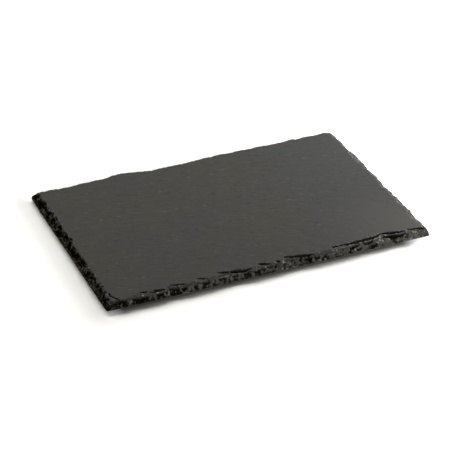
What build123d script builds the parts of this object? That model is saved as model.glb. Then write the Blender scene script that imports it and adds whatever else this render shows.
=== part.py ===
from build123d import *

import os
from dataclasses import dataclass, field
from math import cos, hypot, pi, sqrt

# A slate serving board: one riven slab with hand-dressed edges, standing on four stick-on pads.
# Millimetres, +Z up. X runs along the length, and Y along the width from front to back. The origin
# is the middle of the board, on the surface that the pads stand on.

# Slab
LENGTH = 300.0
WIDTH = 200.0
THICKNESS = 6.0

# Stick-on pads: a foam disc, and the film of adhesive that was die-cut with it
PAD_DIAMETER = 14.0
PAD_HEIGHT = 2.0
PAD_RIM_RADIUS = 0.5
FILM_THICKNESS = 0.2
PAD_SETBACK = 26.0  # from the slab's trimmed sides to the middle of a pad

# Flake scars: hollows side by side along the dressed sides, each as if struck out by a ball
SCAR_PITCH = 7.0
SCAR_PITCH_SPREAD = 4.0
SCAR_RADIUS = 16.0
SCAR_RADIUS_SPREAD = 14.0
SCAR_REACH_SPREAD = 2.6  # how much the reach into the top face varies from scar to scar
CORNER_REACH = 12.0
CORNER_FOOT = 1.8
CORNER_RADIUS = 26.0

# Beds: patches where a layer of the stone split off along its grain. Their cutters run out of the
# stone by this much.
CUTTER_OVERRUN = 5.0

GOLDEN_RATIO = (sqrt(5.0) - 1.0) / 2.0
SLAB_BOTTOM = PAD_HEIGHT + FILM_THICKNESS
UP = Vector(0, 0, 1)


@dataclass
class Side:
    """One side of the slab, and how it was dressed.

    across is how far the side lies from the middle of the board. Scars end at reach on the top face
    and at foot on the bottom face, both inwards from the side, and a foot below zero stops short of
    the bottom face. Swells are (place, half width, extra reach). Beds are (depth, break line), and a
    break line is a row of (place, reach). Places along the side are from -1 to 1, end to end.
    """

    along: Vector
    inward: Vector
    length: float
    across: float
    reach: float
    foot: float
    foot_spread: float
    beds: list
    swells: list = field(default_factory=list)

    def point(self, place, inset):
        """A point on the level of the bottom face, from its place along the side and its inset."""
        return self.along * (place * self.length / 2) + self.inward * (inset - self.across) + UP * SLAB_BOTTOM

    def reach_at(self, place):
        """The mean reach of the scars at a place, with the swells added."""
        reach = self.reach
        for middle, half_width, extra in self.swells:
            offset = abs(place - middle) / half_width
            if offset < 1:
                reach += extra * (1 + cos(pi * offset)) / 2
        return reach


FRONT = Side(
    along=Vector(1, 0, 0),
    inward=Vector(0, 1, 0),
    length=LENGTH,
    across=WIDTH / 2,
    reach=4.6,
    foot=-0.9,
    foot_spread=1.2,
    beds=[
        (1.6, [(-1.03, 14), (-0.95, 14), (-0.93, 10.5), (-0.92, 7), (-0.91, 2)]),
        (0.8, [(-0.78, 2), (-0.77, 7), (-0.74, 5.5), (-0.71, 6), (-0.67, 2)]),
        (1.4, [(-0.64, 2), (-0.63, 9), (-0.57, 7.5), (-0.49, 2)]),
        (1.0, [(-0.47, 2), (-0.45, 9), (-0.37, 2)]),
        (1.4, [(-0.35, 2), (-0.33, 11), (-0.27, 8.5), (-0.19, 9), (-0.1, 2)]),
        (3.0, [(-0.27, 1), (-0.25, 7), (-0.2, 4.5), (-0.15, 1)]),
        (1.0, [(-0.09, 2), (-0.08, 10.5), (-0.01, 6.5), (0.03, 8), (0.07, 2)]),
        (1.8, [(0.06, 2), (0.08, 10.5), (0.17, 8.5), (0.29, 2)]),
        (1.5, [(0.32, 2), (0.39, 9), (0.65, 8.5), (0.71, 10.5), (0.77, 9), (0.86, 7.5), (0.88, 2)]),
        (3.0, [(0.55, 1), (0.58, 5), (0.65, 1)]),
        (3.0, [(0.69, 1), (0.72, 8), (0.75, 5), (0.81, 1)]),
        (1.2, [(0.85, 2), (0.87, 9), (0.96, 7), (0.97, 2)]),
    ],
)
BACK = Side(
    along=Vector(1, 0, 0),
    inward=Vector(0, -1, 0),
    length=LENGTH,
    across=WIDTH / 2,
    reach=5.4,
    foot=-0.2,
    foot_spread=1.6,
    swells=[(-0.44, 0.16, -3.6), (-0.11, 0.31, 2.0)],
    beds=[
        (1.0, [(-0.85, 2), (-0.83, 8), (-0.75, 7.5), (-0.72, 2)]),
        (1.2, [(0.53, 2), (0.56, 7.5), (0.65, 8), (0.72, 2)]),
    ],
)
LEFT = Side(
    along=Vector(0, 1, 0),
    inward=Vector(1, 0, 0),
    length=WIDTH,
    across=LENGTH / 2,
    reach=6.8,
    foot=-0.9,
    foot_spread=1.2,
    beds=[
        (1.6, [(-1.05, 17), (-0.98, 16), (-0.88, 11.5), (-0.82, 2)]),
        (1.2, [(0.52, 2), (0.56, 9.5), (0.66, 9), (0.74, 2)]),
    ],
)
RIGHT = Side(
    along=Vector(0, 1, 0),
    inward=Vector(-1, 0, 0),
    length=WIDTH,
    across=LENGTH / 2,
    reach=6.2,
    foot=0.7,
    foot_spread=2.6,
    beds=[
        (1.2, [(-0.76, 2), (-0.7, 9), (-0.56, 8.5), (-0.48, 2)]),
        (1.0, [(0.36, 2), (0.42, 9), (0.56, 7.5), (0.6, 2)]),
    ],
)
SIDES = (FRONT, BACK, LEFT, RIGHT)


def varied(number, spread):
    """A value within half of spread either way, which never falls into step with number."""
    return ((number * GOLDEN_RATIO) % 1.0 - 0.5) * spread


def scar(start, inward, reach, foot, radius):
    """The ball that leaves one flake scar, inwards from start on the trimmed outline. It passes
    through the scar's end on the top face, and through its foot on the level of the bottom face."""
    run = reach - foot
    chord = hypot(run, THICKNESS)
    size = max(radius, chord)
    out = UP * (run / chord) - inward * (THICKNESS / chord)
    middle = start + inward * ((reach + foot) / 2) + UP * (THICKNESS / 2)
    centre = middle + out * sqrt(size**2 - (chord / 2) ** 2)
    return Plane(origin=centre, x_dir=out, z_dir=inward.cross(UP)) * Sphere(size)


def side_scars(side, number):
    """Scars side by side along one side of the slab, each with its own width, reach and foot. The
    count starts at number, so that no two sides are alike."""
    cutters = []
    position = SCAR_PITCH
    while position < side.length - SCAR_PITCH / 2:
        place = 2 * position / side.length - 1
        reach = side.reach_at(place) + varied(3 * number, SCAR_REACH_SPREAD)
        foot = side.foot + varied(5 * number, side.foot_spread)
        radius = SCAR_RADIUS + varied(7 * number, SCAR_RADIUS_SPREAD)
        cutters.append(scar(side.point(place, 0), side.inward, reach, foot, radius))
        position += SCAR_PITCH + varied(2 * number, SCAR_PITCH_SPREAD)
        number += 1
    return cutters


def corner_scar(hand, front_to_back):
    """The larger scar that blunts one corner."""
    corner = Vector(hand * LENGTH / 2, front_to_back * WIDTH / 2, SLAB_BOTTOM)
    inward = Vector(-hand, -front_to_back, 0).normalized()
    return scar(corner, inward, CORNER_REACH, CORNER_FOOT, CORNER_RADIUS)


def bed(side, depth, break_line):
    """The layer that split off over one bed, from the break line outwards."""
    first_place = break_line[0][0]
    last_place = break_line[-1][0]
    outline = [side.point(place, reach) for place, reach in break_line]
    outline.append(side.point(last_place, -CUTTER_OVERRUN))
    outline.append(side.point(first_place, -CUTTER_OVERRUN))
    layer = extrude(make_face(Polyline(*outline, close=True)), amount=depth + CUTTER_OVERRUN, dir=UP)
    return Pos(0, 0, THICKNESS - depth) * layer


def slate_slab():
    """The slab: a plain blank, with its corner scars, beds and side scars taken off."""
    cutters = [corner_scar(hand, front_to_back) for hand in (-1, 1) for front_to_back in (-1, 1)]
    for side in SIDES:
        cutters += [bed(side, depth, break_line) for depth, break_line in side.beds]
        cutters += side_scars(side, len(cutters))
    blank = Box(LENGTH, WIDTH, THICKNESS, align=(Align.CENTER, Align.CENTER, Align.MIN))
    slab = (Pos(0, 0, SLAB_BOTTOM) * blank).solid()
    for cutter in cutters:
        slab = slab.cut(cutter)
    return slab


def pad():
    """A foam disc with its lower rim rounded, standing on the origin."""
    disc = Cylinder(PAD_DIAMETER / 2, PAD_HEIGHT, align=(Align.CENTER, Align.CENTER, Align.MIN))
    return fillet(disc.edges().sort_by(Axis.Z)[0], PAD_RIM_RADIUS)


def adhesive_film():
    """The disc of adhesive between a pad and the slab."""
    disc = Cylinder(PAD_DIAMETER / 2, FILM_THICKNESS, align=(Align.CENTER, Align.CENTER, Align.MIN))
    return Pos(0, 0, PAD_HEIGHT) * disc


os.makedirs("parts", exist_ok=True)
export_step(slate_slab(), "parts/slate_slab.step")
for depth_name, front_to_back in (("front", -1), ("back", 1)):
    for hand_name, hand in (("left", -1), ("right", 1)):
        place = Pos(hand * (LENGTH / 2 - PAD_SETBACK), front_to_back * (WIDTH / 2 - PAD_SETBACK), 0)
        export_step(place * pad(), f"parts/pad_{depth_name}_{hand_name}.step")
        export_step(place * adhesive_film(), f"parts/adhesive_film_{depth_name}_{hand_name}.step")
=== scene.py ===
# %% [markdown]
# A slate serving board
#
# The board is one slab of slate. It was split along its grain, so its faces are nearly flat, and its
# sides were dressed with a hammer, so its edges are a staircase of broken layers. It stands on four
# small foam pads, each stuck on with a film of adhesive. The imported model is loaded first, and each
# piece below is made in the same place as the solid that it dresses. The scene is in metres.

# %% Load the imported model
from math import cos, pi, radians, sin

import bpy
import numpy as np
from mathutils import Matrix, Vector, noise


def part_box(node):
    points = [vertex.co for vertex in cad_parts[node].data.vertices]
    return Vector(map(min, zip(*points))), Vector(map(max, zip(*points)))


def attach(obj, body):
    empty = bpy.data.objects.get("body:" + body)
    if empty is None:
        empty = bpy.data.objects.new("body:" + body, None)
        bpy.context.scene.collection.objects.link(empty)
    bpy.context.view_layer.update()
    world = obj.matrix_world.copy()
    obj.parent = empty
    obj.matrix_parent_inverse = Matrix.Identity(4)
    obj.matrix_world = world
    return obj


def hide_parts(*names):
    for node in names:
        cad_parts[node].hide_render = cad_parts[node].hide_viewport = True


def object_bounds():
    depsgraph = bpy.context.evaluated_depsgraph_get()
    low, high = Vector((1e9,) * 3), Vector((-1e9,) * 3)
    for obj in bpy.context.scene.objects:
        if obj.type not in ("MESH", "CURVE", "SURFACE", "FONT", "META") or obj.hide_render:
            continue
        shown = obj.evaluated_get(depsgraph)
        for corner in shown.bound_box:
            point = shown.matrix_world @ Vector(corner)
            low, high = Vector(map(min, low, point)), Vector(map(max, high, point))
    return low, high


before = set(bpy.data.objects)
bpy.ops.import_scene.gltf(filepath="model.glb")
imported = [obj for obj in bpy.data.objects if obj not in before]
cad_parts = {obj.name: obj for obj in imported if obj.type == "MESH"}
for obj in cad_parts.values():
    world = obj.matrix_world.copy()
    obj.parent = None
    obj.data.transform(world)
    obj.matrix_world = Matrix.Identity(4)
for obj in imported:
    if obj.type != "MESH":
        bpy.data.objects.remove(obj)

MM = 0.001
cad_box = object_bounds()
print("CAD box in mm:", [[round(value / MM, 2) for value in corner] for corner in cad_box])

# %% [markdown]
# The camera
#
# The photograph was taken with a long lens, from the front left and about 32 degrees above the table.
# A long lens keeps the far side of the board almost as large as the near side. The camera could be
# placed by eye, but its place was worked out from the four corners of the board in the picture, so
# here it is given by its turn, its rise and its distance from a point near the middle of the slab.

# %% Camera
CAMERA_TURN = radians(-23.21)
CAMERA_RISE = radians(31.55)
CAMERA_DISTANCE = 1.6458
CAMERA_LENS = 150.0
SENSOR_WIDTH = 36.0
FARTHEST_SEEN = 20.0
AIM_X = -0.0082
AIM_Y = -0.0157
slab_low, slab_high = (Vector(corner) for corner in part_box("slate_slab"))
aim = Vector((AIM_X, AIM_Y, slab_low.z))
level = cos(CAMERA_RISE)
towards_camera = Vector((sin(CAMERA_TURN) * level, -cos(CAMERA_TURN) * level, sin(CAMERA_RISE)))
bpy.ops.object.camera_add(location=aim + towards_camera * CAMERA_DISTANCE)
camera = bpy.context.object
camera.rotation_euler = (-towards_camera).to_track_quat("-Z", "Y").to_euler()
camera.data.lens = CAMERA_LENS
camera.data.sensor_width = SENSOR_WIDTH
camera.data.clip_end = FARTHEST_SEEN
bpy.context.scene.camera = camera
bpy.context.scene.view_settings.view_transform = "Standard"
print("camera at", [round(value, 3) for value in camera.location])

# %% [markdown]
# The lamps
#
# The shadows tell where the light came from. In front of the board the shadow is short and dark, and
# to its left it is long and faint, so most of the light came from a wide strip behind the board. The
# top and the broken front edge both grow lighter towards the right, so one small lamp stood close to
# that end and another lay low in front of it, and a white card further off kept the rest of the front
# from going black. A bright world could light the board too, but four area lamps do the same as the
# real ones, and each can be moved by itself.

# %% Softboxes
def add_softbox(name, turn, rise, distance, size, power):
    """Adds a soft lamp that faces the board. Its turn is measured from the back towards the right."""
    towards = Vector((sin(turn) * cos(rise), cos(turn) * cos(rise), sin(rise)))
    bpy.ops.object.light_add(type="AREA", location=towards * distance)
    lamp = bpy.context.object
    lamp.name = name
    lamp.data.shape = "RECTANGLE"
    lamp.data.size, lamp.data.size_y = size
    lamp.data.energy = power
    lamp.rotation_euler = (-towards).to_track_quat("-Z", "Y").to_euler()
    lamp.visible_camera = False
    print(name, "at", [round(value, 2) for value in lamp.location])


add_softbox("strip_behind",
    turn=radians(12), rise=radians(35), distance=3.0, size=(5.2, 1.0), power=190.0)
add_softbox("small_box_at_the_right",
    turn=radians(86), rise=radians(21), distance=0.4, size=(0.3, 0.15), power=1.1)
add_softbox("low_lamp_at_the_right",
    turn=radians(125), rise=radians(3), distance=0.45, size=(0.3, 0.03), power=0.6)
add_softbox("white_card_in_front",
    turn=radians(165), rise=radians(3), distance=1.5, size=(1.0, 0.1), power=8.5)

# %% [markdown]
# Colours and nodes
#
# A colour is picked on the screen as an sRGB hex code, and a shader works in linear light, so one
# function turns the one into the other. A second function adds a node, sets it and links it. Every
# material below is built with these two. A Mix node repeats its sockets for each kind of value, under
# the same names, so they are picked by number: input 0 is the share, 6 and 7 are two colours with
# their mix at output 2, and 2 and 3 are two plain values with their mix at output 0.

# %% Colour and node helpers
def colour(hex_code):
    """An sRGB hex colour as the linear RGBA that a shader takes."""
    channels = [int(hex_code[start:start + 2], 16) / 255 for start in (1, 3, 5)]
    linear = [c / 12.92 if c <= 0.04045 else ((c + 0.055) / 1.055) ** 2.4 for c in channels]
    return (*linear, 1.0)


def add_node(tree, kind, settings, inputs):
    """Adds a node with its own settings, and with inputs, by name or number, that are values or sockets."""
    node = tree.nodes.new(kind)
    for name, value in settings.items():
        setattr(node, name, value)
    for key, value in inputs.items():
        if isinstance(value, bpy.types.NodeSocket):
            tree.links.new(value, node.inputs[key])
        else:
            node.inputs[key].default_value = value
    return node


print("slate grey in linear light:", [round(value, 4) for value in colour("#484643")])

# %% [markdown]
# The room and the table
#
# The picture has a pure white ground that still holds the shadow of the board. A white world alone
# would give the ground but not the shadow, so the table is a sheet of white paper. A dim world fills
# the shadows a little, and what the camera sees of it is white. Away from the board the paper gives off
# a little light of its own for the camera, so that it comes out the same white where the lamps leave it
# grey, and this glow also paints the outer part of the shadow paler. Near the board it gives off none,
# so the shadow stays. Below the right end, where the small lamp stands close, the glow is painted light
# that takes the shadow away, so the paper is white up to the stone, and near the corners it is painted
# light that makes the shadow pale.

# %% World
def seen_by_camera(tree):
    """A socket that is 1 for what the camera sees, also by reflection or through glass, and else 0."""
    rays = add_node(tree, "ShaderNodeLightPath", {}, {})
    indirect = add_node(tree, "ShaderNodeMath", {"operation": "MAXIMUM"},
        {0: rays.outputs["Is Glossy Ray"], 1: rays.outputs["Is Transmission Ray"]})
    seen = add_node(tree, "ShaderNodeMath", {"operation": "MAXIMUM"},
        {0: rays.outputs["Is Camera Ray"], 1: indirect.outputs[0]})
    return seen.outputs[0]


world = bpy.data.worlds.new("studio")
bpy.context.scene.world = world
world.use_nodes = True
tree = world.node_tree
tree.nodes.clear()
dim = add_node(tree, "ShaderNodeBackground", {}, {"Color": colour("#FFF3E0"), "Strength": 0.02})
white = add_node(tree, "ShaderNodeBackground", {}, {"Color": colour("#FFFFFF"), "Strength": 1.0})
mixed = add_node(tree, "ShaderNodeMixShader", {},
    {0: seen_by_camera(tree), 1: dim.outputs[0], 2: white.outputs[0]})
add_node(tree, "ShaderNodeOutputWorld", {}, {"Surface": mixed.outputs[0]})
print("world has", len(tree.nodes), "nodes")

# %% Paper
PAPER_SIZE = 8.0
bpy.ops.object.select_all(action="DESELECT")
bpy.ops.mesh.primitive_plane_add(size=PAPER_SIZE)
table = bpy.context.object
table.name = "paper_sweep"
paper = bpy.data.materials.new("white paper")
paper.use_nodes = True
tree = paper.node_tree
sheet = tree.nodes["Principled BSDF"]
sheet.inputs["Base Color"].default_value = colour("#FCFAF5")
sheet.inputs["Roughness"].default_value = 1.0
sheet.inputs["Specular IOR Level"].default_value = 0.0
print("paper sweep", [round(value, 2) for value in table.dimensions], "m")

# %% Where the paper glows, with painted light over the shadow
# The glow evens the white ground away from the board and also paints the outer part of its shadow paler.
GLOW_REACH = 45 * MM
GLOW_STRENGTH = 0.4
# Painted light: below the right end the glow takes the board's shadow away, up to the stone.
TIP_PAINTED_LIGHT_START = cad_box[1][0] - 30 * MM
TIP_PAINTED_LIGHT_END = cad_box[1][0] - 8 * MM
TIP_PAINTED_LIGHT_STRENGTH = 0.9
# Painted light: near the corners the glow makes the board's shadow paler.
CORNER_PAINTED_LIGHT_SPOT = (cad_box[1][0] - 3 * MM, cad_box[1][1] + 2 * MM, 0)
CORNER_PAINTED_LIGHT_REACH = 12 * MM
CORNER_PAINTED_LIGHT_STRENGTH = 0.3
on_paper = add_node(tree, "ShaderNodeTexCoord", {}, {}).outputs["Object"]
spread = add_node(tree, "ShaderNodeVectorMath", {"operation": "ABSOLUTE"}, {0: on_paper})
past = add_node(tree, "ShaderNodeVectorMath", {"operation": "SUBTRACT"},
    {0: spread.outputs[0], 1: (cad_box[1][0], cad_box[1][1], 0)})
outside = add_node(tree, "ShaderNodeVectorMath", {"operation": "MAXIMUM"}, {0: past.outputs[0]})
away = add_node(tree, "ShaderNodeVectorMath", {"operation": "LENGTH"}, {0: outside.outputs[0]})
glow = add_node(tree, "ShaderNodeMapRange", {"interpolation_type": "SMOOTHSTEP"},
    {"Value": away.outputs["Value"], "From Max": GLOW_REACH, "To Max": GLOW_STRENGTH})
paper_axes = add_node(tree, "ShaderNodeSeparateXYZ", {}, {0: on_paper})
painted_light_at_tip = add_node(tree, "ShaderNodeMapRange", {"interpolation_type": "SMOOTHSTEP"},
    {"Value": paper_axes.outputs[0], "From Min": TIP_PAINTED_LIGHT_START, "From Max": TIP_PAINTED_LIGHT_END, "To Max": TIP_PAINTED_LIGHT_STRENGTH})
from_corner = add_node(tree, "ShaderNodeVectorMath", {"operation": "DISTANCE"},
    {0: spread.outputs[0], 1: CORNER_PAINTED_LIGHT_SPOT})
corners = add_node(tree, "ShaderNodeMapRange", {},
    {"Value": from_corner.outputs["Value"],
     "From Min": CORNER_PAINTED_LIGHT_REACH, "From Max": 0, "To Max": CORNER_PAINTED_LIGHT_STRENGTH})
glow_and_tip_light = add_node(tree, "ShaderNodeMath", {"operation": "MAXIMUM"},
    {0: glow.outputs[0], 1: painted_light_at_tip.outputs[0]})
glow_and_painted_light = add_node(tree, "ShaderNodeMath", {"operation": "MAXIMUM"},
    {0: glow_and_tip_light.outputs[0], 1: corners.outputs[0]})
print("the glow is full", round(GLOW_REACH / MM), "mm from the board")

# %% Glow of the paper
shown = add_node(tree, "ShaderNodeMath", {"operation": "MULTIPLY"},
    {0: glow_and_painted_light.outputs[0], 1: seen_by_camera(tree)})
light = add_node(tree, "ShaderNodeEmission", {},
    {"Color": colour("#FFFFFF"), "Strength": shown.outputs[0]})
both = add_node(tree, "ShaderNodeAddShader", {}, {0: sheet.outputs[0], 1: light.outputs[0]})
tree.links.new(both.outputs[0], tree.nodes["Material Output"].inputs["Surface"])
table.data.materials.append(paper)
print("paper:", len(tree.nodes), "nodes")

# %% [markdown]
# The blank of the slab
#
# A dresser starts with a split sheet of slate. Here the blank is a flat grid as long and as wide as
# the slab. The broken edge needs points every half millimetre and the flat middle does not, so only
# the cells near the rim are divided. The whole slab could be divided alike, at three times the faces.
# The sizes of the slab are in millimetres here, and its points go back to metres on the mesh.

# %% Slab blank
LENGTH = (slab_high.x - slab_low.x) / MM
WIDTH = (slab_high.y - slab_low.y) / MM
THICKNESS = (slab_high.z - slab_low.z) / MM
CELL = 4.0
PITCH = 0.5
RIM_WIDTH = 20.0
bpy.ops.object.select_all(action="DESELECT")
cells = (round(LENGTH / CELL), round(WIDTH / CELL))
bpy.ops.mesh.primitive_grid_add(x_subdivisions=cells[0], y_subdivisions=cells[1], size=1.0)
slab = bpy.context.object
slab.name = "dressed_slab"
slab.dimensions = (LENGTH * MM, WIDTH * MM, 0)
bpy.ops.object.transform_apply(location=True, rotation=True, scale=True)
bpy.ops.object.mode_set(mode="EDIT")
bpy.ops.mesh.select_mode(type="FACE")
bpy.ops.mesh.select_all(action="DESELECT")
bpy.ops.object.mode_set(mode="OBJECT")
for face in slab.data.polygons:
    inset = min(LENGTH / 2 - abs(face.center.x) / MM, WIDTH / 2 - abs(face.center.y) / MM)
    face.select = inset < RIM_WIDTH
bpy.ops.object.mode_set(mode="EDIT")
bpy.ops.mesh.subdivide(number_cuts=round(CELL / PITCH) - 1)
bpy.ops.object.mode_set(mode="OBJECT")
print("blank", round(LENGTH), "by", round(WIDTH), "mm,", len(slab.data.polygons), "faces")

# %% [markdown]
# Where each layer broke
#
# Slate is a pack of thin layers. A hammer blow takes off a flake, and the flake leaves a hollow arc in
# every layer that it cuts through, a little further in at each layer up. Side by side, the arcs make a
# scalloped edge. An edge could be sculpted by hand, but there are ten layers and about a metre of
# edge, so the arcs are worked out: on each side, each layer gets a line that says how far in it broke.

# %% Small tools for uneven lines
GOLDEN_SHARE = 0.6180339887
CYCLE = 7
CYCLE_SHARE = 0.137
ROW_SLANT = 0.37


def varied(number, low, high):
    """A value from low to high that looks random and is the same each time for the same number."""
    return low + (high - low) * ((number * GOLDEN_SHARE + CYCLE_SHARE * (number % CYCLE)) % 1)


def wander(samples, wavelength, row):
    """Smooth noise along a line, from about -1 to 1. Each row is another line."""
    spots = [Vector((sample / wavelength, row, ROW_SLANT * row)) for sample in samples]
    return np.array([noise.noise(spot) for spot in spots])


def smooth_step(values):
    """0 below 0, 1 above 1, and a smooth rise between."""
    clipped = np.clip(values, 0, 1)
    return clipped * clipped * (3 - 2 * clipped)


def hump(samples, middle, half_width):
    """A rounded rise to 1 in the middle, and 0 outside its half width."""
    offset = np.clip(np.abs(samples - middle) / half_width, 0, 1)
    return (1 + np.cos(pi * offset)) / 2


print("five varied values:", [round(varied(number, 0, 1), 2) for number in range(5)])

# %% Arcs side by side
# Every arc has a number. A multiple of the number gives each of its measures another varied value.
ARC_SPACING = (0.45, 0.9)


def arcs(samples, seed, narrow, wide):
    """Overlapping arcs along a line, each 0 at its ends and 1 in its middle, with a number each."""
    place = samples[0]
    number = seed
    while place < samples[-1] + wide:
        number += 1
        half_width = varied(number, narrow, wide)
        yield number, np.sqrt(np.maximum(1 - ((samples - place) / half_width) ** 2, 0))
        place += half_width * varied(number * 7 + 3, *ARC_SPACING)


print("arcs lie", ARC_SPACING[0], "to", ARC_SPACING[1], "half widths apart")

# %% Break lines of any side
BEDS = np.array([0.7, 0.5, 0.6, 0.6, 0.5, 0.7, 0.6, 0.7, 0.6, 0.5])
FLAKE_WIDTHS = (4, 13)
FLAKE_REACHES = (0.75, 1.3)
FLUTE_SEED = 400
FLUTE_WIDTHS = (1.2, 3.2)
FLUTE_DEPTHS = (0.1, 1.0)
FINE_DEPTH = 0.35
FINE_WAVE = 2.2
FINE_ROWS = 37
BROAD_DEPTH = 0.5
BROAD_WAVE = 6.0
BROAD_ROWS = 6
FOLLOW_DEPTH = 0.3
FOLLOW_WAVE = 2.3
shares = (np.cumsum(BEDS) - BEDS / 2) / THICKNESS
xs = np.arange(-LENGTH / 2, LENGTH / 2 + PITCH / 2, PITCH)
ys = np.arange(-WIDTH / 2, WIDTH / 2 + PITCH / 2, PITCH)


def break_lines(samples, reach, hollows, seed):
    """How far in each layer of a side broke off, in mm, from the bottom layer up."""
    lines = np.zeros((len(BEDS), len(samples)))
    for number, arc in arcs(samples, seed, *FLAKE_WIDTHS):
        flake_reach = reach * varied(number * 3 + 1, *FLAKE_REACHES)
        hollow = varied(number * 5 + 2, *hollows)
        lines = np.maximum(lines, flake_reach * shares[:, None] ** hollow * arc)
    flutes = np.zeros_like(samples)
    for number, arc in arcs(samples, seed + FLUTE_SEED, *FLUTE_WIDTHS):
        flutes = np.maximum(flutes, varied(number * 3 + 1, *FLUTE_DEPTHS) * arc)
    for share, line in zip(shares, lines):
        fine = FINE_DEPTH * wander(samples, FINE_WAVE, seed + FINE_ROWS * share)
        broad = BROAD_DEPTH * wander(samples, BROAD_WAVE, seed + BROAD_ROWS * share)
        line += flutes * (1 - share)
        line += fine + broad
    return lines


def follow(lines, layer, samples, places, seed):
    """Makes one layer break along a list of (place, how far in), between the layers below and above."""
    line = np.interp(samples, *zip(*places)) + FOLLOW_DEPTH * wander(samples, FOLLOW_WAVE, seed)
    lines[:layer] = np.minimum(lines[:layer], line)
    lines[layer:] = np.maximum(lines[layer:], line)
    lines[layer] = line


print("layers of", BEDS, "mm")

# %% [markdown]
# The four sides
#
# The front faces the camera, so its top layer and the ledge two layers below it follow the picture:
# each tooth starts deep at its left end and runs out towards the edge at its right end. The top layer
# of the other three sides follows the picture too, because it is the edge of the top face there, and
# the back slopes no further out below it than an even bevel. Each list gives places along the side and
# how far in the layer broke there, in millimetres.

# %% Front
FRONT_SEED = 11
FRONT_SKIN = [
    (-150, 17), (-147, 15.5), (-143, 14), (-138, 7), (-136.5, 3.5), (-128, 5), (-119, 8.5), (-110, 7),
    (-106, 7), (-100, 5.5), (-97, 5), (-94, 9), (-86, 7.6), (-77, 5.4), (-70, 6), (-67.5, 9.3), (-58, 5.6),
    (-51, 7), (-48.7, 11), (-45, 9.9), (-38, 8.6), (-29, 9.3), (-18.6, 5.2), (-14, 6.5), (-11.6, 10.4),
    (-1.5, 6.3), (3, 6.8), (4, 8.2), (7, 6.9), (11, 7.5), (12.5, 11), (27, 8), (40, 5), (56, 7), (57.5, 9.4),
    (63, 9), (73, 8.8), (90, 9.8), (99, 10), (106, 12.5), (113, 11), (122, 9), (129, 8), (130, 9.4),
    (144, 7), (150, 7),
]
FRONT_LEDGE = [
    (-150, 9), (-140, 4.5), (-132, 2.5), (-127, 3.5), (-118, 2.5), (-112, 2), (-96, 2.5), (-93, 5.5),
    (-84, 3), (-52, 3), (-49, 7), (-38, 8.6), (-31, 8), (-24, 5.5), (-19, 2), (-12, 3), (8, 4), (12.5, 8),
    (24, 6), (36, 3), (60, 3.5), (80, 4.5), (87, 5), (95, 5.5), (101, 6.5), (107, 8), (112, 7), (116, 6),
    (121, 4.5), (128, 4), (134, 6), (143, 4), (150, 5),
]
SKIN = len(BEDS) - 1
LEDGE = len(BEDS) - 3
front_lines = break_lines(xs, reach=6.5, hollows=(0.45, 1.7), seed=FRONT_SEED)
follow(front_lines, SKIN, xs, FRONT_SKIN, seed=14)
follow(front_lines, LEDGE, xs, FRONT_LEDGE, seed=16)
front_lines[LEDGE + 1:] = np.minimum(front_lines[LEDGE + 1:], front_lines[SKIN])
print("the front skin broke", round(float(front_lines[SKIN].mean()), 1), "mm in on average")

# %% Back
BACK_SEED = 211
BACK_SLOPE = 1.4
BACK_SKIN = [
    (-150, 7), (-131, 6), (-125, 8), (-110, 8), (-104, 6.5), (-95, 7.5), (-90, 6), (-86, 7), (-78, 6),
    (-73, 3.5), (-64, 3), (-52, 5.5), (-44, 7.5), (-36, 10), (-28, 9), (-5, 9.5), (18, 7.5), (25, 8),
    (31, 6.5), (42, 8), (52, 7), (62, 8), (72, 7), (83, 8.5), (96, 8), (107, 6.5), (110, 8.5), (118, 7),
    (130, 8), (139, 7), (150, 10),
]
back_lines = break_lines(xs, reach=6.5, hollows=(0.9, 1.5), seed=BACK_SEED)
follow(back_lines, SKIN, xs, BACK_SKIN, seed=24)
below_skin = np.cumsum(BEDS[::-1])[::-1][:, None] - BEDS[SKIN]
back_lines = np.maximum(back_lines, back_lines[SKIN] - BACK_SLOPE * below_skin)
print("the back skin broke", round(float(back_lines[SKIN].mean()), 1), "mm in on average")

# %% Left and right
LEFT_SEED = 411
RIGHT_SEED = 611
LEFT_SKIN = [
    (-100, 9), (-78, 9), (-70, 7.5), (-60, 8.5), (-52, 7.5), (-42, 8.5), (-32, 8), (-23, 7), (-16, 7),
    (-9, 7.5), (6, 8.5), (12, 8), (21, 7.5), (43, 7.5), (56, 8.5), (63, 9), (71, 7.5), (82, 7.5), (100, 7),
]
RIGHT_SKIN = [
    (-100, 6.5), (-90, 7), (-80, 8), (-70, 8.5), (-59, 5), (-49, 7.5), (-35, 7.5), (-23, 6), (-18, 8.5),
    (0, 5.5), (18, 7.5), (24, 5.5), (33, 8), (48, 7.5), (71, 6.5), (89, 8), (100, 9),
]
left_lines = break_lines(ys, reach=8.0, hollows=(0.6, 1.6), seed=LEFT_SEED)
follow(left_lines, SKIN, ys, LEFT_SKIN, seed=34)
right_lines = break_lines(ys, reach=6.5, hollows=(2.0, 3.0), seed=RIGHT_SEED)
follow(right_lines, SKIN, ys, RIGHT_SKIN, seed=44)
print("the left skin broke", round(float(left_lines[SKIN].mean()), 1), "mm in on average")

# %% [markdown]
# From lines to a staircase
#
# At each point the height is the sum of the layers that are still there. The bottom layer reaches past
# the edge, and no layer reaches further out than the one below it. Where a layer has lifted off the one
# below, its edge is steep over a dark gap, and elsewhere it slopes. On the front the gaps under the
# upper layers follow the picture, as (start, end, how wide), and two layers lower down have rows of
# gaps where small pieces fell out. The four sides are worked out apart, and at each point the lowest of
# them counts. Ten sheets could be stacked instead, but one height at each point keeps the slab whole.

# %% Layers in order
FOOT_LINE = -1.0
for lines in (front_lines, back_lines, left_lines, right_lines):
    lines[0] = FOOT_LINE
    lines[:] = np.maximum.accumulate(lines, axis=0)
print("the deepest break of the front is", round(float(front_lines.max()), 1), "mm in")

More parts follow.
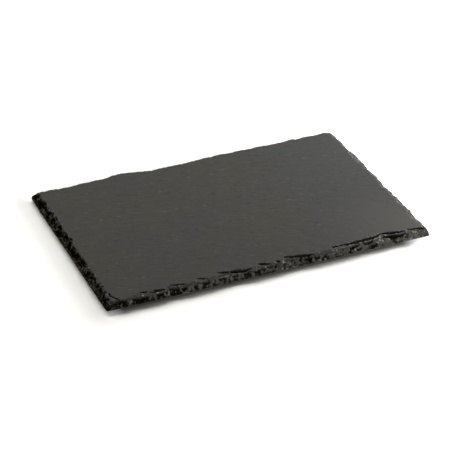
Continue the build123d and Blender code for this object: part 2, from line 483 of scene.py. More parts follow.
# %% Gaps of any side
FULL_GAP = 0.4
FIRST_LIFTED = 2
BARE_STEP = 0.8
LIFT_CONTRAST = 2.5
LIFT_WAVE = 7.0
LIFT_ROWS = 5
LIFT_START = 0.1


def crescents(samples, lifts):
    """Gaps along a line that are widest in the middle and close at both ends."""
    gap = np.zeros_like(samples)
    for start, end, width in lifts:
        gap = np.maximum(gap, width * np.sqrt(hump(samples, (start + end) / 2, (end - start) / 2)))
    return gap


def gaps_under(samples, lines, seed):
    """How far each layer of a side has lifted off the one below, in mm, from the bottom layer up."""
    gaps = np.zeros_like(lines)
    for layer in range(FIRST_LIFTED, len(BEDS)):
        bared = smooth_step((lines[layer] - lines[layer - 1]) / BARE_STEP)
        lift = LIFT_CONTRAST * wander(samples, LIFT_WAVE, seed + LIFT_ROWS * layer) + LIFT_START
        gaps[layer] = FULL_GAP * bared * smooth_step(lift)
    return gaps


back_gaps = gaps_under(xs, back_lines, BACK_SEED)
left_gaps = gaps_under(ys, left_lines, LEFT_SEED)
right_gaps = gaps_under(ys, right_lines, RIGHT_SEED)
right_gaps[LEDGE:] = 0
print("widest gap of the left side", round(float(left_gaps.max()), 1), "mm")

# %% Gaps of the front
PIT_LAYERS = (3, 5)
PIT_GAP = 0.6
PIT_CONTRAST = 3
PIT_WAVE = 7.0
PIT_SEED = 71
PIT_START = -0.35
PIT_ROWS_END = 100.0
PIT_ROWS_FADE = 30.0
TIP_BARE = 6.0
TIP_FADE = 16.0
GAP_SHARE = 0.8
GAP_UNEVEN = 0.6
GAP_WAVE = 2.5
GAP_SEED = 81
FRONT_LIFTS = [
    (-145, -136, 0.6), (-119, -111, 0.5), (-107, -100, 0.7), (-94, -77, 0.5), (-68, -58, 0.5),
    (-49, -38, 0.7), (-12, -1, 1.0), (4, 8, 1.0), (12, 40, 1.5), (57, 64, 0.8), (62, 111, 1.7),
    (103, 128, 1.4), (127, 146, 0.6), (137, 146, 1.0),
]
BETWEEN_LIFTS = [(-112, -95, 0.5), (-34, -17, 0.6), (103, 128, 1.5)]
LEDGE_LIFTS = [
    (-141, -130, 0.9), (-128, -111, 1.0), (-107, -98, 0.7), (-94, -84, 0.7), (-39, -23, 1.2),
    (-20, -8, 0.7), (30, 37, 1.0), (70, 82, 0.7), (84, 96, 0.6), (110, 120, 0.6),
]
short_of_tip = smooth_step((LENGTH / 2 - TIP_BARE - xs) / TIP_FADE)
pit_rows = smooth_step((PIT_ROWS_END - xs) / PIT_ROWS_FADE)
front_gaps = gaps_under(xs, front_lines, FRONT_SEED)
for layer in PIT_LAYERS:
    fallen = smooth_step(PIT_CONTRAST * wander(xs, PIT_WAVE, PIT_SEED + layer) + PIT_START)
    front_gaps[layer] = PIT_GAP * pit_rows * fallen
front_gaps *= short_of_tip
front_gaps[LEDGE] = crescents(xs, LEDGE_LIFTS)
front_gaps[LEDGE + 1] = crescents(xs, BETWEEN_LIFTS)
front_gaps[SKIN] = crescents(xs, FRONT_LIFTS)
front_gaps *= GAP_SHARE + GAP_UNEVEN * wander(xs, GAP_WAVE, GAP_SEED)
print("widest gap of the front", round(float(front_gaps.max()), 1), "mm")

# %% Staircase
STEP_WIDTH = 0.5
SLOPE_WIDTH = 2.5
GAP_DEPTH = 0.6
GAP_CONTRAST = 2.0
LEAST_REACH = 0.1


def stepped(along, inset, samples, lines, gaps):
    """The height of one broken side over the whole slab, and where shade is painted over its gaps."""
    height = np.zeros_like(inset)
    dark = np.zeros_like(inset)
    for thickness, line, gap in zip(BEDS, lines, gaps):
        past_edge = inset - np.interp(along, samples, line)
        reach = np.interp(along, samples, gap) + LEAST_REACH
        lifted = smooth_step((reach - LEAST_REACH) / FULL_GAP)
        width = STEP_WIDTH + SLOPE_WIDTH * (1 - lifted)
        height += thickness * smooth_step(past_edge / width + 1)
        under_edge = (past_edge + STEP_WIDTH / 2 + reach) / reach
        dark = np.maximum(dark, smooth_step(GAP_CONTRAST * lifted * np.exp(-under_edge ** 2)))
    return height - GAP_DEPTH * dark, dark


x, y = np.meshgrid(xs, ys)
height = np.full_like(x, THICKNESS)
# Where the gaps of the sides get painted shade, near black.
painted_slit_shade = np.zeros_like(x)
for along, inset, samples, lines, gaps in (
    (x, y + WIDTH / 2, xs, front_lines, front_gaps),
    (x, WIDTH / 2 - y, xs, back_lines, back_gaps),
    (y, x + LENGTH / 2, ys, left_lines, left_gaps),
    (y, LENGTH / 2 - x, ys, right_lines, right_gaps),
):
    side, side_gap_shade = stepped(along, inset, samples, lines, gaps)
    painted_slit_shade = np.where(side < height, side_gap_shade, painted_slit_shade)
    height = np.minimum(height, side)
print("broken share of the top:", round(float((height < THICKNESS).mean()), 3))

# %% [markdown]
# Facets and swells
#
# Broken stone is made of small tilted facets, and a split face is not quite flat either: it swells and
# dips by a tenth of a millimetre or two. The facets are cells, each with its own tilt, on the broken
# part only, and rougher low down, where more layers broke. The swells go over the whole slab. A bump in
# the finish could hint at both, but real facets catch the light and show from the side.

# %% Facets
LOW_START = 1.2
LOW_FADE = 1.0
UPPER_ROUGHNESS = 0.4
LARGE_FACET = 4.0
LARGE_TILT = 0.7
SMALL_FACET = 1.5
SMALL_TILT = 0.35
CELL_SPREAD = 7.31
CELL_RISE = 0.5
NO_TILT = Vector((0.5, 0.5, 0.5))


def facet(size, seed):
    """Tilted cells about size mm across, on the broken part of the slab."""
    result = np.zeros_like(x)
    for row, column in np.argwhere(height < THICKNESS):
        spot = Vector((x[row, column] / size, y[row, column] / size, seed))
        cell = noise.voronoi(spot)[1][0]
        tilt = noise.cell_vector(cell * CELL_SPREAD) - NO_TILT
        result[row, column] = tilt.dot(Vector((spot.x - cell.x, spot.y - cell.y, CELL_RISE)))
    return result


broken = smooth_step(THICKNESS - height)
low_down = smooth_step((THICKNESS - height - LOW_START) / LOW_FADE)
rough = broken * (UPPER_ROUGHNESS + (1 - UPPER_ROUGHNESS) * low_down)
facets = LARGE_TILT * facet(LARGE_FACET, seed=5.0) + SMALL_TILT * facet(SMALL_FACET, seed=9.0)
height = height + facets * rough
print("facets up to", round(float((facets * rough).max()), 2), "mm high")

# %% Swells
LIP = 0.3
SWELL = 0.15
SWELL_LENGTH = 48.0
SWELL_WIDTH = 36.0
SWELL_SEED = 2.0
SWELL_EVERY = 8
few_xs = xs[::SWELL_EVERY]
few_ys = ys[::SWELL_EVERY]
swell = [
    [noise.noise(Vector((spot_x / SWELL_LENGTH, spot_y / SWELL_WIDTH, SWELL_SEED))) for spot_x in few_xs]
    for spot_y in few_ys
]
swell = np.array([np.interp(xs, few_xs, line) for line in swell])
swell = np.array([np.interp(ys, few_ys, line) for line in swell.T]).T
height = np.clip(height + SWELL * (swell - swell.max()), LIP, THICKNESS)
print("heights from", round(float(height.min()), 2), "to", round(float(height.max()), 2), "mm")

# %% [markdown]
# Marks for the finish
#
# The finish needs to know what it lies on: broken stone or split face, a fresh break low down, a hollow
# or a ridge, for shade painted in the hollows, a slit, which is painted near black as shade, the left
# side, a darker stone that is painted darker still as shade, with its grey front corner, the front and
# back, where dark pits are painted as shade, the chipped rim with pale flecks at the right end, and the
# top towards the front right corner, where light is painted as a paler patch. These marks are worked
# out on the same lattice as the heights. The finish could guess some of them from the slope, but as
# attributes of the mesh they are exact and stay with the piece when it is exported. The flecked
# stretches are given as (start, end, how strong).

# %% Small tools for marks
def blurred(values, steps):
    """The mean over a square of 2 * steps + 1 lattice points."""
    window = 2 * steps + 1
    for _ in range(2):
        padded = np.pad(values, ((steps + 1, steps), (0, 0)), mode="edge")
        total = np.cumsum(padded, axis=0)
        values = ((total[window:] - total[:-window]) / window).T
    return values


def near(inset, reach, fade):
    """1 close to a side and 0 past the reach, with a fade before it, all in mm."""
    return smooth_step((reach - inset) / fade)


from_front = y + WIDTH / 2
from_back = WIDTH / 2 - y
print("lattice of", len(xs), "by", len(ys), "points")

# %% Flecks
FLECKED_RIGHT = [(-98, -66, 1), (-54, -16, 1), (10, 30, 0.6), (26, 60, 1)]
FLECKED_TIP = [(116, 150, 0.8)]
RIGHT_FLECKS_REACH = 13.5
TIP_FLECKS_REACH = 8.0
FLECKS_FADE = 4.0
right_flecks = crescents(ys, FLECKED_RIGHT)[:, None] * near(LENGTH / 2 - x, RIGHT_FLECKS_REACH, FLECKS_FADE)
tip_flecks = crescents(xs, FLECKED_TIP) * near(from_front, TIP_FLECKS_REACH, FLECKS_FADE)
flecked = np.maximum(right_flecks, tip_flecks)
print("flecked share of the slab:", round(float((flecked > 0).mean()), 3))

# %% Pits
# Painted shade: dark pits stand for shade in small hollows of the front and back breaks; these say where,
# with more at the foot and fewer towards the right.
PITS_REACH = 16.0
PITS_FADE = 4.0
FRONT_PITS = 0.85
FEWER_AT_RIGHT = 0.33
BACK_PITS = 0.93
FOOT_HEIGHT = 1.8
MORE_AT_FOOT = 0.16
pits_along = (FRONT_PITS - FEWER_AT_RIGHT * x / LENGTH) * short_of_tip
front_pits = pits_along * near(from_front, PITS_REACH, PITS_FADE)
back_pits = BACK_PITS * near(from_back, PITS_REACH, PITS_FADE)
foot = smooth_step(FOOT_HEIGHT - height)
print("most pits at the front:", round(float(front_pits.max()), 2))

# %% Marks
TIP_FRESH = 0.4
HOLLOW_STEPS = 4
LEFT_DARK_REACH = 12.5
LEFT_DARK_FADE = 2.5
LEFT_DARK_RISE = 2.0
GREY_CORNER = 19.0
RIM_STEPS = 3
RIM_START = 40.0
MORE_AT_RIM = 0.4
# Painted light: the top is made paler towards the front right corner, standing for the light that falls
# there.
PAINTED_LIGHT_START_X = 40.0
PAINTED_LIGHT_FADE_X = 100.0
PAINTED_LIGHT_START_Y = -10.0
PAINTED_LIGHT_FADE_Y = 80.0
# Painted shade: the left side is marked to be coloured darker than its stone, as a side turned from the
# light.
left_dark_top = smooth_step(LEFT_DARK_RISE * broken) * (1 - near(from_front, GREY_CORNER, LEFT_DARK_FADE))
rim_share = 1 + MORE_AT_RIM * smooth_step(x / RIM_START - 1)
marks = {
    "broken": broken,
    "painted_slit_shade": painted_slit_shade,
    "fresh": low_down * (TIP_FRESH + (1 - TIP_FRESH) * short_of_tip),
    "hollow": (blurred(height, HOLLOW_STEPS) - height) * broken,
    "left_dark_stone_and_shade": near(x + LENGTH / 2, LEFT_DARK_REACH, LEFT_DARK_FADE) * np.maximum(low_down, left_dark_top),
    "pit_shade": (front_pits + back_pits) * (1 + MORE_AT_FOOT * foot) * low_down,
    "rim": np.clip(blurred(broken, RIM_STEPS), 0, 1) * (1 - broken) * rim_share + flecked * broken,
    "painted_light_patch": smooth_step((x - PAINTED_LIGHT_START_X) / PAINTED_LIGHT_FADE_X) * smooth_step((PAINTED_LIGHT_START_Y - y) / PAINTED_LIGHT_FADE_Y),
}
print("highest marks:", {name: round(float(values.max()), 2) for name, values in marks.items()})

# %% [markdown]
# Raising the slab
#
# Now the flat grid takes its heights. Two more things belong to the outline: the right side lost small
# bites from its foot, which follow the picture as (place, how deep), and the corners of the foot are
# knocked round. Then the rim is drawn down to the lower face and closed. A Displace modifier could
# raise the grid too, but it moves points by a texture, and the heights are at hand as numbers.

# %% Heights on the mesh
points = np.empty(len(slab.data.vertices) * 3)
slab.data.vertices.foreach_get("co", points)
points = points.reshape(-1, 3) / MM
column = np.rint((points[:, 0] + LENGTH / 2) / PITCH).astype(int)
row = np.rint((points[:, 1] + WIDTH / 2) / PITCH).astype(int)
points[:, 2] = slab_low.z / MM + height[row, column]
for name, values in marks.items():
    attribute = slab.data.attributes.new(name, "FLOAT", "POINT")
    attribute.data.foreach_set("value", values[row, column])
print("raised", len(points), "points")

# %% Bites in the right side
BITE_REACH = 12.0
RIGHT_BITES = [
    (-100, 2), (-90, 1.5), (-82, 0.5), (-75, 1.5), (-69, 1), (-64, 1), (-60, 0), (-51, 0), (-48, 0.5),
    (-43, 0), (-37, 0.5), (-31, 1.5), (-27, 1), (-24, 2), (-20, 1), (-14, 2), (-10, 1.5), (-5, 1), (-1, 1),
    (3, 0), (8, 0), (12, 1), (19, 2), (23, 1), (27, 0.5), (30, 0), (48, 0), (54, 0.5), (57, 1.5), (66, 1.5),
    (70, 1), (75, 1.5), (82, 2), (88, 2.5), (100, 3),
]
notch = np.interp(points[:, 1], *zip(*RIGHT_BITES))
from_right = LENGTH / 2 - points[:, 0]
pull = np.clip(1 - from_right / BITE_REACH, 0, 1) ** 2
points[:, 0] -= pull * notch
print("bites up to", round(float(notch.max()), 1), "mm deep")

# %% Round corners
CORNER_RADII = {(-1, -1): 2.0, (1, -1): 2.0, (-1, 1): 6.0, (1, 1): 6.0}
for (right, back), radius in CORNER_RADII.items():
    past_x = points[:, 0] * right - (LENGTH / 2 - radius)
    past_y = points[:, 1] * back - (WIDTH / 2 - radius)
    inside = (past_x > 0) & (past_y > 0)
    shrink = np.maximum(past_x, past_y)[inside] / np.hypot(past_x, past_y)[inside]
    points[inside, 0] = right * (LENGTH / 2 - radius + past_x[inside] * shrink)
    points[inside, 1] = back * (WIDTH / 2 - radius + past_y[inside] * shrink)
slab.data.vertices.foreach_set("co", (points * MM).ravel())
slab.data.update()
print("rounded corners of", sorted(CORNER_RADII.values()), "mm")

# %% Lower face
SLAB_SMOOTH = radians(32)
bpy.ops.object.mode_set(mode="EDIT")
bpy.ops.mesh.select_all(action="DESELECT")
bpy.ops.mesh.select_mode(type="EDGE")
bpy.ops.mesh.select_non_manifold(extend=False)
bpy.ops.mesh.extrude_edges_move()
bpy.ops.transform.resize(value=(1, 1, 0), center_override=(0, 0, slab_low.z))
bpy.ops.mesh.edge_face_add()
bpy.ops.mesh.select_all(action="SELECT")
bpy.ops.mesh.normals_make_consistent(inside=False)
bpy.ops.object.mode_set(mode="OBJECT")
bpy.ops.object.shade_smooth_by_angle(angle=SLAB_SMOOTH)
print("slab has", sum(len(face.vertices) - 2 for face in slab.data.polygons), "triangles")

# %% [markdown]
# Slate
#
# Slate is a fine mud stone, split by hand along its layers. The split face is a matt warm grey with
# faint clouds and short pale and dark streaks that all lie one way, the way the stone was stretched,
# and here and there a pale speck of mica or a dark one. Towards the right the warm tint fades, and
# towards the front right corner the top is painted paler as light. A broken edge is rougher: facets that
# are warm at the left and greyer at the right, with painted shade in their hollows, black pits painted
# as shade, slits painted near black as shade, and pale bruised chips. On this slab the left side is a
# darker brown stone, and it is painted darker still as the shade of a side turned from the light. There
# is almost no gloss, so the specular level is low and the roughness high, and the left side has no gloss
# at all. The lower face was split too, so whatever points down gets the finish of a split face. A
# picture of slate could be wrapped round the slab, but noise and cells at the real sizes need no picture
# and have no seam.

# %% Slate, clouds and tint
CLOUD_SIZE = 60 * MM
NEUTRAL_START = 20 * MM
NEUTRAL_END = 90 * MM
slate = bpy.data.materials.new("riven slate")
slate.use_nodes = True
tree = slate.node_tree
stone = tree.nodes["Principled BSDF"]
coordinates = add_node(tree, "ShaderNodeTexCoord", {}, {})
where = coordinates.outputs["Object"]
clouds = add_node(tree, "ShaderNodeTexNoise", {},
    {"Vector": where, "Scale": 1 / CLOUD_SIZE, "Detail": 2.0})
cloudy = add_node(tree, "ShaderNodeMapRange", {},
    {"Value": clouds.outputs[0], "From Min": 0.35, "From Max": 0.65})
clouded = add_node(tree, "ShaderNodeMix", {"data_type": "RGBA"},
    {0: cloudy.outputs[0], 6: colour("#434140"), 7: colour("#43423C")})
axes = add_node(tree, "ShaderNodeSeparateXYZ", {}, {0: where})
neutral = add_node(tree, "ShaderNodeMapRange", {"interpolation_type": "SMOOTHSTEP"},
    {"Value": axes.outputs[0], "From Min": NEUTRAL_START, "From Max": NEUTRAL_END})
tinted = add_node(tree, "ShaderNodeMix", {"data_type": "RGBA"},
    {0: neutral.outputs[0], 6: clouded.outputs[2], 7: colour("#424241")})
print("clouds and tint:", len(tree.nodes), "nodes")

# %% Slate, streaks
# In the picture the streaks lie level, so the grain is turned as the camera is.
GRAIN_TURN = CAMERA_TURN
STREAK_LENGTH = 7 * MM
STREAK_WIDTH = 2.2 * MM
drawn = add_node(tree, "ShaderNodeMapping", {"vector_type": "TEXTURE"},
    {"Vector": where, "Rotation": (0, 0, GRAIN_TURN), "Scale": (STREAK_LENGTH, STREAK_WIDTH, STREAK_WIDTH)})
streaks = add_node(tree, "ShaderNodeTexNoise", {},
    {"Vector": drawn.outputs[0], "Scale": 1.0, "Detail": 2.0})
pale_streaks = add_node(tree, "ShaderNodeMapRange", {},
    {"Value": streaks.outputs[0], "From Min": 0.58, "From Max": 0.72, "To Max": 0.25})
dark_streaks = add_node(tree, "ShaderNodeMapRange", {},
    {"Value": streaks.outputs[0], "From Min": 0.42, "From Max": 0.28, "To Max": 0.4})
lighter = add_node(tree, "ShaderNodeMix", {"data_type": "RGBA"},
    {0: pale_streaks.outputs[0], 6: tinted.outputs[2], 7: colour("#575551")})
darker = add_node(tree, "ShaderNodeMix", {"data_type": "RGBA"},
    {0: dark_streaks.outputs[0], 6: lighter.outputs[2], 7: colour("#353330")})
print("with streaks:", len(tree.nodes), "nodes")

# %% Slate, painted light at the front right, and specks
SPECKS_PER_STREAK = 1.4
# Painted light: a paler patch on the top towards the front right corner.
painted_light_marks = add_node(tree, "ShaderNodeAttribute", {"attribute_name": "painted_light_patch"}, {})
painted_light_patch = add_node(tree, "ShaderNodeMix", {"data_type": "RGBA"},
    {0: painted_light_marks.outputs["Fac"], 6: darker.outputs[2], 7: colour("#4E4C49")})
specks = add_node(tree, "ShaderNodeTexVoronoi", {},
    {"Vector": drawn.outputs[0], "Scale": SPECKS_PER_STREAK})
speck = add_node(tree, "ShaderNodeSeparateColor", {}, {0: specks.outputs["Color"]})
core = add_node(tree, "ShaderNodeMapRange", {},
    {"Value": specks.outputs["Distance"], "From Min": 0.5, "From Max": 0.2})
few_pale = add_node(tree, "ShaderNodeMapRange", {},
    {"Value": speck.outputs[0], "From Min": 0.985, "From Max": 0.99, "To Max": core.outputs[0]})
few_dark = add_node(tree, "ShaderNodeMapRange", {},
    {"Value": speck.outputs[1], "From Min": 0.985, "From Max": 0.99, "To Max": core.outputs[0]})
mica = add_node(tree, "ShaderNodeMix", {"data_type": "RGBA"},
    {0: few_pale.outputs[0], 6: painted_light_patch.outputs[2], 7: colour("#565450")})
split = add_node(tree, "ShaderNodeMix", {"data_type": "RGBA"},
    {0: few_dark.outputs[0], 6: mica.outputs[2], 7: colour("#373532")})
print("split face:", len(tree.nodes), "nodes")

# %% Slate, facets of the edge, with painted shade in hollows
GREY_START = -60 * MM
GREY_END = 0.0
# Painted shade: hollows of the broken edge get the darker facet colour and ridges the lighter one.
dips = add_node(tree, "ShaderNodeAttribute", {"attribute_name": "hollow"}, {})
hollow_shade = add_node(tree, "ShaderNodeMapRange", {},
    {"Value": dips.outputs["Fac"], "From Min": -0.6, "From Max": 0.6})
rightward = add_node(tree, "ShaderNodeMapRange", {"interpolation_type": "SMOOTHSTEP"},
    {"Value": axes.outputs[0], "From Min": GREY_START, "From Max": GREY_END})
warm_facets = add_node(tree, "ShaderNodeMix", {"data_type": "RGBA"},
    {0: hollow_shade.outputs[0], 6: colour("#68675C"), 7: colour("#59584D")})
grey_facets = add_node(tree, "ShaderNodeMix", {"data_type": "RGBA"},
    {0: hollow_shade.outputs[0], 6: colour("#56554E"), 7: colour("#484741")})
all_facets = add_node(tree, "ShaderNodeMix", {"data_type": "RGBA"},
    {0: rightward.outputs[0], 6: warm_facets.outputs[2], 7: grey_facets.outputs[2]})
breaks_low = add_node(tree, "ShaderNodeAttribute", {"attribute_name": "fresh"}, {})
ledges = add_node(tree, "ShaderNodeMix", {"data_type": "RGBA"},
    {0: breaks_low.outputs["Fac"], 6: colour("#42413C"), 7: all_facets.outputs[2]})
print("with facets:", len(tree.nodes), "nodes")

# %% Slate, pits of painted shade, and chips
PIT_LENGTH = 2.4 * MM
PIT_DEPTH = 6.0 * MM
PIT_HEIGHT = 5.0 * MM
PIT_TOP = slab_low.z + 4.5 * MM
PIT_FOOT = slab_low.z + 1.5 * MM
CHIP_SIZE = 1.3 * MM
upright = add_node(tree, "ShaderNodeMapping", {"vector_type": "TEXTURE"},
    {"Vector": where, "Scale": (PIT_LENGTH, PIT_DEPTH, PIT_HEIGHT)})
pits = add_node(tree, "ShaderNodeTexNoise", {},
    {"Vector": upright.outputs[0], "Scale": 1.0, "Detail": 3.0, "Roughness": 0.6})
pit_sides = add_node(tree, "ShaderNodeAttribute", {"attribute_name": "pit_shade"}, {})
side_pits = add_node(tree, "ShaderNodeMath", {"operation": "MULTIPLY"},
    {0: pits.outputs[0], 1: pit_sides.outputs["Fac"]})
# Painted shade: the pits grow darker towards the foot.
pit_shade_to_foot = add_node(tree, "ShaderNodeMapRange", {},
    {"Value": axes.outputs[2], "From Min": PIT_TOP, "From Max": PIT_FOOT, "To Min": 0.6})
painted_pit_shade = add_node(tree, "ShaderNodeMapRange", {},
    {"Value": side_pits.outputs[0], "From Min": 0.46, "From Max": 0.5, "To Max": pit_shade_to_foot.outputs[0]})
# The pits are painted near black as shade.
pit_shade = add_node(tree, "ShaderNodeMix", {"data_type": "RGBA"},
    {0: painted_pit_shade.outputs[0], 6: ledges.outputs[2], 7: colour("#15130D")})
chips = add_node(tree, "ShaderNodeTexVoronoi", {}, {"Vector": where, "Scale": 1 / CHIP_SIZE})
chip = add_node(tree, "ShaderNodeSeparateColor", {}, {0: chips.outputs["Color"]})
bruise = add_node(tree, "ShaderNodeMapRange", {},
    {"Value": chip.outputs[0], "From Min": 0.97, "From Max": 0.98})
bruised = add_node(tree, "ShaderNodeMix", {"data_type": "RGBA"},
    {0: bruise.outputs[0], 6: pit_shade.outputs[2], 7: colour("#8C8B83")})
print("with pits and chips:", len(tree.nodes), "nodes")

# %% Slate, dark left side, partly painted shade
SEAM_SIZE = 2.8 * MM
# Painted shade: the left side is coloured dark brown-black, partly darker stone and partly shade.
left_stone_and_shade = add_node(tree, "ShaderNodeAttribute", {"attribute_name": "left_dark_stone_and_shade"}, {})
seams = add_node(tree, "ShaderNodeTexNoise", {},
    {"Vector": where, "Scale": 1 / SEAM_SIZE, "Detail": 3.0, "Roughness": 0.6})
seam = add_node(tree, "ShaderNodeMapRange", {},
    {"Value": seams.outputs[0], "From Min": 0.39, "From Max": 0.5})
dark_bed_and_shade = add_node(tree, "ShaderNodeMix", {"data_type": "RGBA"},
    {0: seam.outputs[0], 6: colour("#524D3A"), 7: colour("#1C1A10")})
gloss = add_node(tree, "ShaderNodeMapRange", {},
    {"Value": left_stone_and_shade.outputs["Fac"], "To Min": 0.05, "To Max": 0.0})
tree.links.new(gloss.outputs[0], stone.inputs["Specular IOR Level"])
edge = add_node(tree, "ShaderNodeMix", {"data_type": "RGBA"},
    {0: left_stone_and_shade.outputs["Fac"], 6: bruised.outputs[2], 7: dark_bed_and_shade.outputs[2]})
print("split face and broken edge:", len(tree.nodes), "nodes")

# %% Slate, whole surface and rim
FLECK_SIZE = 2.5 * MM
breaks = add_node(tree, "ShaderNodeAttribute", {"attribute_name": "broken"}, {})
whole = add_node(tree, "ShaderNodeMix", {"data_type": "RGBA"},
    {0: breaks.outputs["Fac"], 6: split.outputs[2], 7: edge.outputs[2]})
rims = add_node(tree, "ShaderNodeAttribute", {"attribute_name": "rim"}, {})
flecks = add_node(tree, "ShaderNodeTexNoise", {},
    {"Vector": where, "Scale": 1 / FLECK_SIZE, "Detail": 3.0})
fleck = add_node(tree, "ShaderNodeMapRange", {},
    {"Value": flecks.outputs[0], "From Min": 0.55, "From Max": 0.7, "To Max": 2.0})
fleck_mask = add_node(tree, "ShaderNodeMath", {"operation": "MULTIPLY", "use_clamp": True},
    {0: fleck.outputs[0], 1: rims.outputs["Fac"]})
chipped = add_node(tree, "ShaderNodeMix", {"data_type": "RGBA"},
    {0: fleck_mask.outputs[0], 6: whole.outputs[2], 7: colour("#8A8A88")})
print("with a chipped rim:", len(tree.nodes), "nodes")

# %% Slate, painted shade of slits, and lower face
# Painted shade: slits under lifted layers are coloured near black.
slits = add_node(tree, "ShaderNodeAttribute", {"attribute_name": "painted_slit_shade"}, {})
painted_slits = add_node(tree, "ShaderNodeMix", {"data_type": "RGBA"},
    {0: slits.outputs["Fac"], 6: chipped.outputs[2], 7: colour("#050504")})
directions = add_node(tree, "ShaderNodeSeparateXYZ", {}, {0: coordinates.outputs["Normal"]})
not_below = add_node(tree, "ShaderNodeMapRange", {},
    {"Value": directions.outputs[2], "From Min": -0.9, "From Max": -0.5})
finished = add_node(tree, "ShaderNodeMix", {"data_type": "RGBA"},
    {0: not_below.outputs[0], 6: darker.outputs[2], 7: painted_slits.outputs[2]})
tree.links.new(finished.outputs[2], stone.inputs["Base Color"])
print("all colours:", len(tree.nodes), "nodes")

# %% Slate, roughness and relief
# The grain of slate is too fine to show, so the grit of the breaks is drawn more than a millimetre wide.
GRIT_SIZE = 1.2 * MM
STREAK_RELIEF = 0.03 * MM
GRIT_RELIEF = 0.5 * MM
dull = add_node(tree, "ShaderNodeMapRange", {},
    {"Value": streaks.outputs[0], "To Min": 0.98, "To Max": 0.86})
tree.links.new(dull.outputs[0], stone.inputs["Roughness"])
grit = add_node(tree, "ShaderNodeTexNoise", {},
    {"Vector": where, "Scale": 1 / GRIT_SIZE, "Detail": 4.0})
gritty = add_node(tree, "ShaderNodeMath", {"operation": "MULTIPLY"},
    {0: breaks.outputs["Fac"], 1: not_below.outputs[0]})
relief = add_node(tree, "ShaderNodeMix", {"data_type": "FLOAT"},
    {0: gritty.outputs[0], 2: streaks.outputs[0], 3: grit.outputs[0]})
depth = add_node(tree, "ShaderNodeMapRange", {},
    {"Value": gritty.outputs[0], "To Min": STREAK_RELIEF, "To Max": GRIT_RELIEF})
bump = add_node(tree, "ShaderNodeBump", {},
    {"Height": relief.outputs[0], "Distance": depth.outputs[0]})
tree.links.new(bump.outputs[0], stone.inputs["Normal"])
slab.data.materials.append(slate)
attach(slab, "root")
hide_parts("slate_slab")
print("slate:", len(tree.nodes), "nodes")

# %% [markdown]
# The foam pads
#
# Each pad is a disc punched from a sheet of closed-cell foam. Under the weight of the slab it is
# pressed a little flatter, so its side bulges and its rims are soft. A cloth simulation could press
# it, but a disc this small and stiff only needs its rims rounded and its waist let out.

# %% Pad with round rims
PAD_NODES = ["pad_front_left", "pad_front_right", "pad_back_left", "pad_back_right"]
PAD_WAIST = 1.03
RIM_ROUND = 0.45 * MM


def select_pad_edges(pad, upright):
    """Selects the upright edges of a pad, or else all its other edges."""
    for pad_edge in pad.data.edges:
        ends = [pad.data.vertices[index].co.z for index in pad_edge.vertices]
        pad_edge.select = (abs(ends[0] - ends[1]) > RIM_ROUND) == upright


pad_low, pad_high = (Vector(corner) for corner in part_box(PAD_NODES[0]))
pad_middle = (pad_low + pad_high) / 2
pad_height = pad_high.z - pad_low.z
pad_radius = (pad_high.x - pad_low.x) / 2 / PAD_WAIST
bpy.ops.object.select_all(action="DESELECT")
bpy.ops.mesh.primitive_cylinder_add(vertices=72, radius=pad_radius, depth=pad_height, location=pad_middle)
first_pad = bpy.context.object
bpy.ops.object.transform_apply(location=True, rotation=True, scale=True)
bpy.ops.object.mode_set(mode="EDIT")
bpy.ops.mesh.select_all(action="DESELECT")
bpy.ops.mesh.select_mode(type="EDGE")
bpy.ops.object.mode_set(mode="OBJECT")
select_pad_edges(first_pad, upright=False)
bpy.ops.object.mode_set(mode="EDIT")
bpy.ops.mesh.bevel(offset=RIM_ROUND, segments=4, profile=0.5)
bpy.ops.mesh.select_all(action="DESELECT")
bpy.ops.object.mode_set(mode="OBJECT")
print("pad with round rims:", len(first_pad.data.polygons), "faces")

# %% Waist of the pad
PAD_SMOOTH = radians(40)
select_pad_edges(first_pad, upright=True)
bpy.ops.object.mode_set(mode="EDIT")
bpy.ops.mesh.subdivide(number_cuts=3)
bpy.ops.object.mode_set(mode="OBJECT")
for vertex in first_pad.data.vertices:
    out = 1 + (PAD_WAIST - 1) * (1 - ((vertex.co.z - pad_middle.z) / (pad_height / 2)) ** 2)
    vertex.co.x = pad_middle.x + (vertex.co.x - pad_middle.x) * out
    vertex.co.y = pad_middle.y + (vertex.co.y - pad_middle.y) * out
bpy.ops.object.shade_smooth_by_angle(angle=PAD_SMOOTH)
print("pad", [round(value / MM, 2) for value in first_pad.dimensions], "mm")

# %% [markdown]
# Closed-cell foam
#
# The pads are black EVA foam. A punched edge shows cut bubbles about half a millimetre across, and the
# skin is matt with a faint sheen. The bubbles could be cut into the mesh, but they are too small to
# matter there, so cells of that size give the pores, as small dimples with painted shade in their middles.

# %% Foam finish
PORE_SIZE = 0.6 * MM
PORE_RELIEF = 0.15 * MM
foam = bpy.data.materials.new("black EVA foam")
foam.use_nodes = True
tree = foam.node_tree
foam_surface = tree.nodes["Principled BSDF"]
foam_surface.inputs["Roughness"].default_value = 0.85
foam_surface.inputs["Specular IOR Level"].default_value = 0.3
where = add_node(tree, "ShaderNodeTexCoord", {}, {}).outputs["Object"]
pores = add_node(tree, "ShaderNodeTexVoronoi", {}, {"Vector": where, "Scale": 1 / PORE_SIZE})
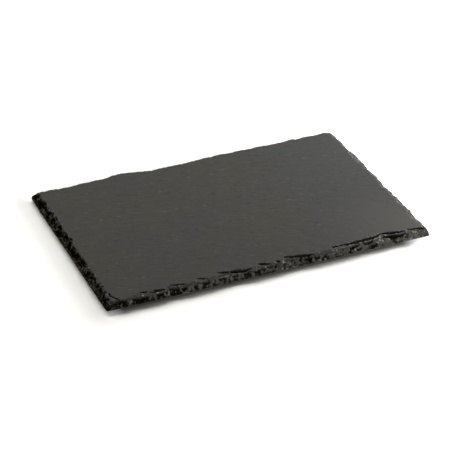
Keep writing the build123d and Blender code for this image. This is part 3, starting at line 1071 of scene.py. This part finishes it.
# Painted shade: the middles of the pores are coloured darker than their walls.
pore_shade_and_dimple = add_node(tree, "ShaderNodeMapRange", {}, {"Value": pores.outputs["Distance"], "From Max": 0.6})
tone = add_node(tree, "ShaderNodeMix", {"data_type": "RGBA"},
    {0: pore_shade_and_dimple.outputs[0], 6: colour("#161617"), 7: colour("#2E2E30")})
tree.links.new(tone.outputs[2], foam_surface.inputs["Base Color"])
dimple = add_node(tree, "ShaderNodeBump", {}, {"Height": pore_shade_and_dimple.outputs[0], "Distance": PORE_RELIEF})
tree.links.new(dimple.outputs[0], foam_surface.inputs["Normal"])
first_pad.data.materials.append(foam)
print("foam:", len(tree.nodes), "nodes")

# %% Four pads
pads = {PAD_NODES[0]: first_pad}
for node_name in PAD_NODES[1:]:
    low, high = (Vector(corner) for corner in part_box(node_name))
    pad = first_pad.copy()
    pad.data = first_pad.data.copy()
    bpy.context.collection.objects.link(pad)
    shift = (low + high) / 2 - pad_middle
    for vertex in pad.data.vertices:
        vertex.co += shift
    pads[node_name] = pad
for node_name, pad in pads.items():
    pad.name = node_name.replace("pad", "foam_pad")
    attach(pad, "root")
    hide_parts(node_name)
print("pads:", len(pads))

# %% [markdown]
# The adhesive
#
# Between each pad and the stone lies a film of acrylic adhesive, clear and a little milky. The CAD
# discs have the right shape already, so they stay and only get their finish.

# %% Adhesive finish
MILKY_SIZE = 2 * MM
film = bpy.data.materials.new("acrylic adhesive film")
film.use_nodes = True
tree = film.node_tree
glue = tree.nodes["Principled BSDF"]
glue.inputs["IOR"].default_value = 1.47
glue.inputs["Roughness"].default_value = 0.35
where = add_node(tree, "ShaderNodeTexCoord", {}, {}).outputs["Object"]
milky = add_node(tree, "ShaderNodeTexNoise", {},
    {"Vector": where, "Scale": 1 / MILKY_SIZE, "Detail": 2.0})
tone = add_node(tree, "ShaderNodeMix", {"data_type": "RGBA"},
    {0: milky.outputs[0], 6: colour("#A9A696"), 7: colour("#C9C6B8")})
tree.links.new(tone.outputs[2], glue.inputs["Base Color"])
for node_name in PAD_NODES:
    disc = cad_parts[node_name.replace("pad", "adhesive_film")]
    disc.data.materials.clear()
    disc.data.materials.append(film)
print("adhesive:", len(tree.nodes), "nodes")
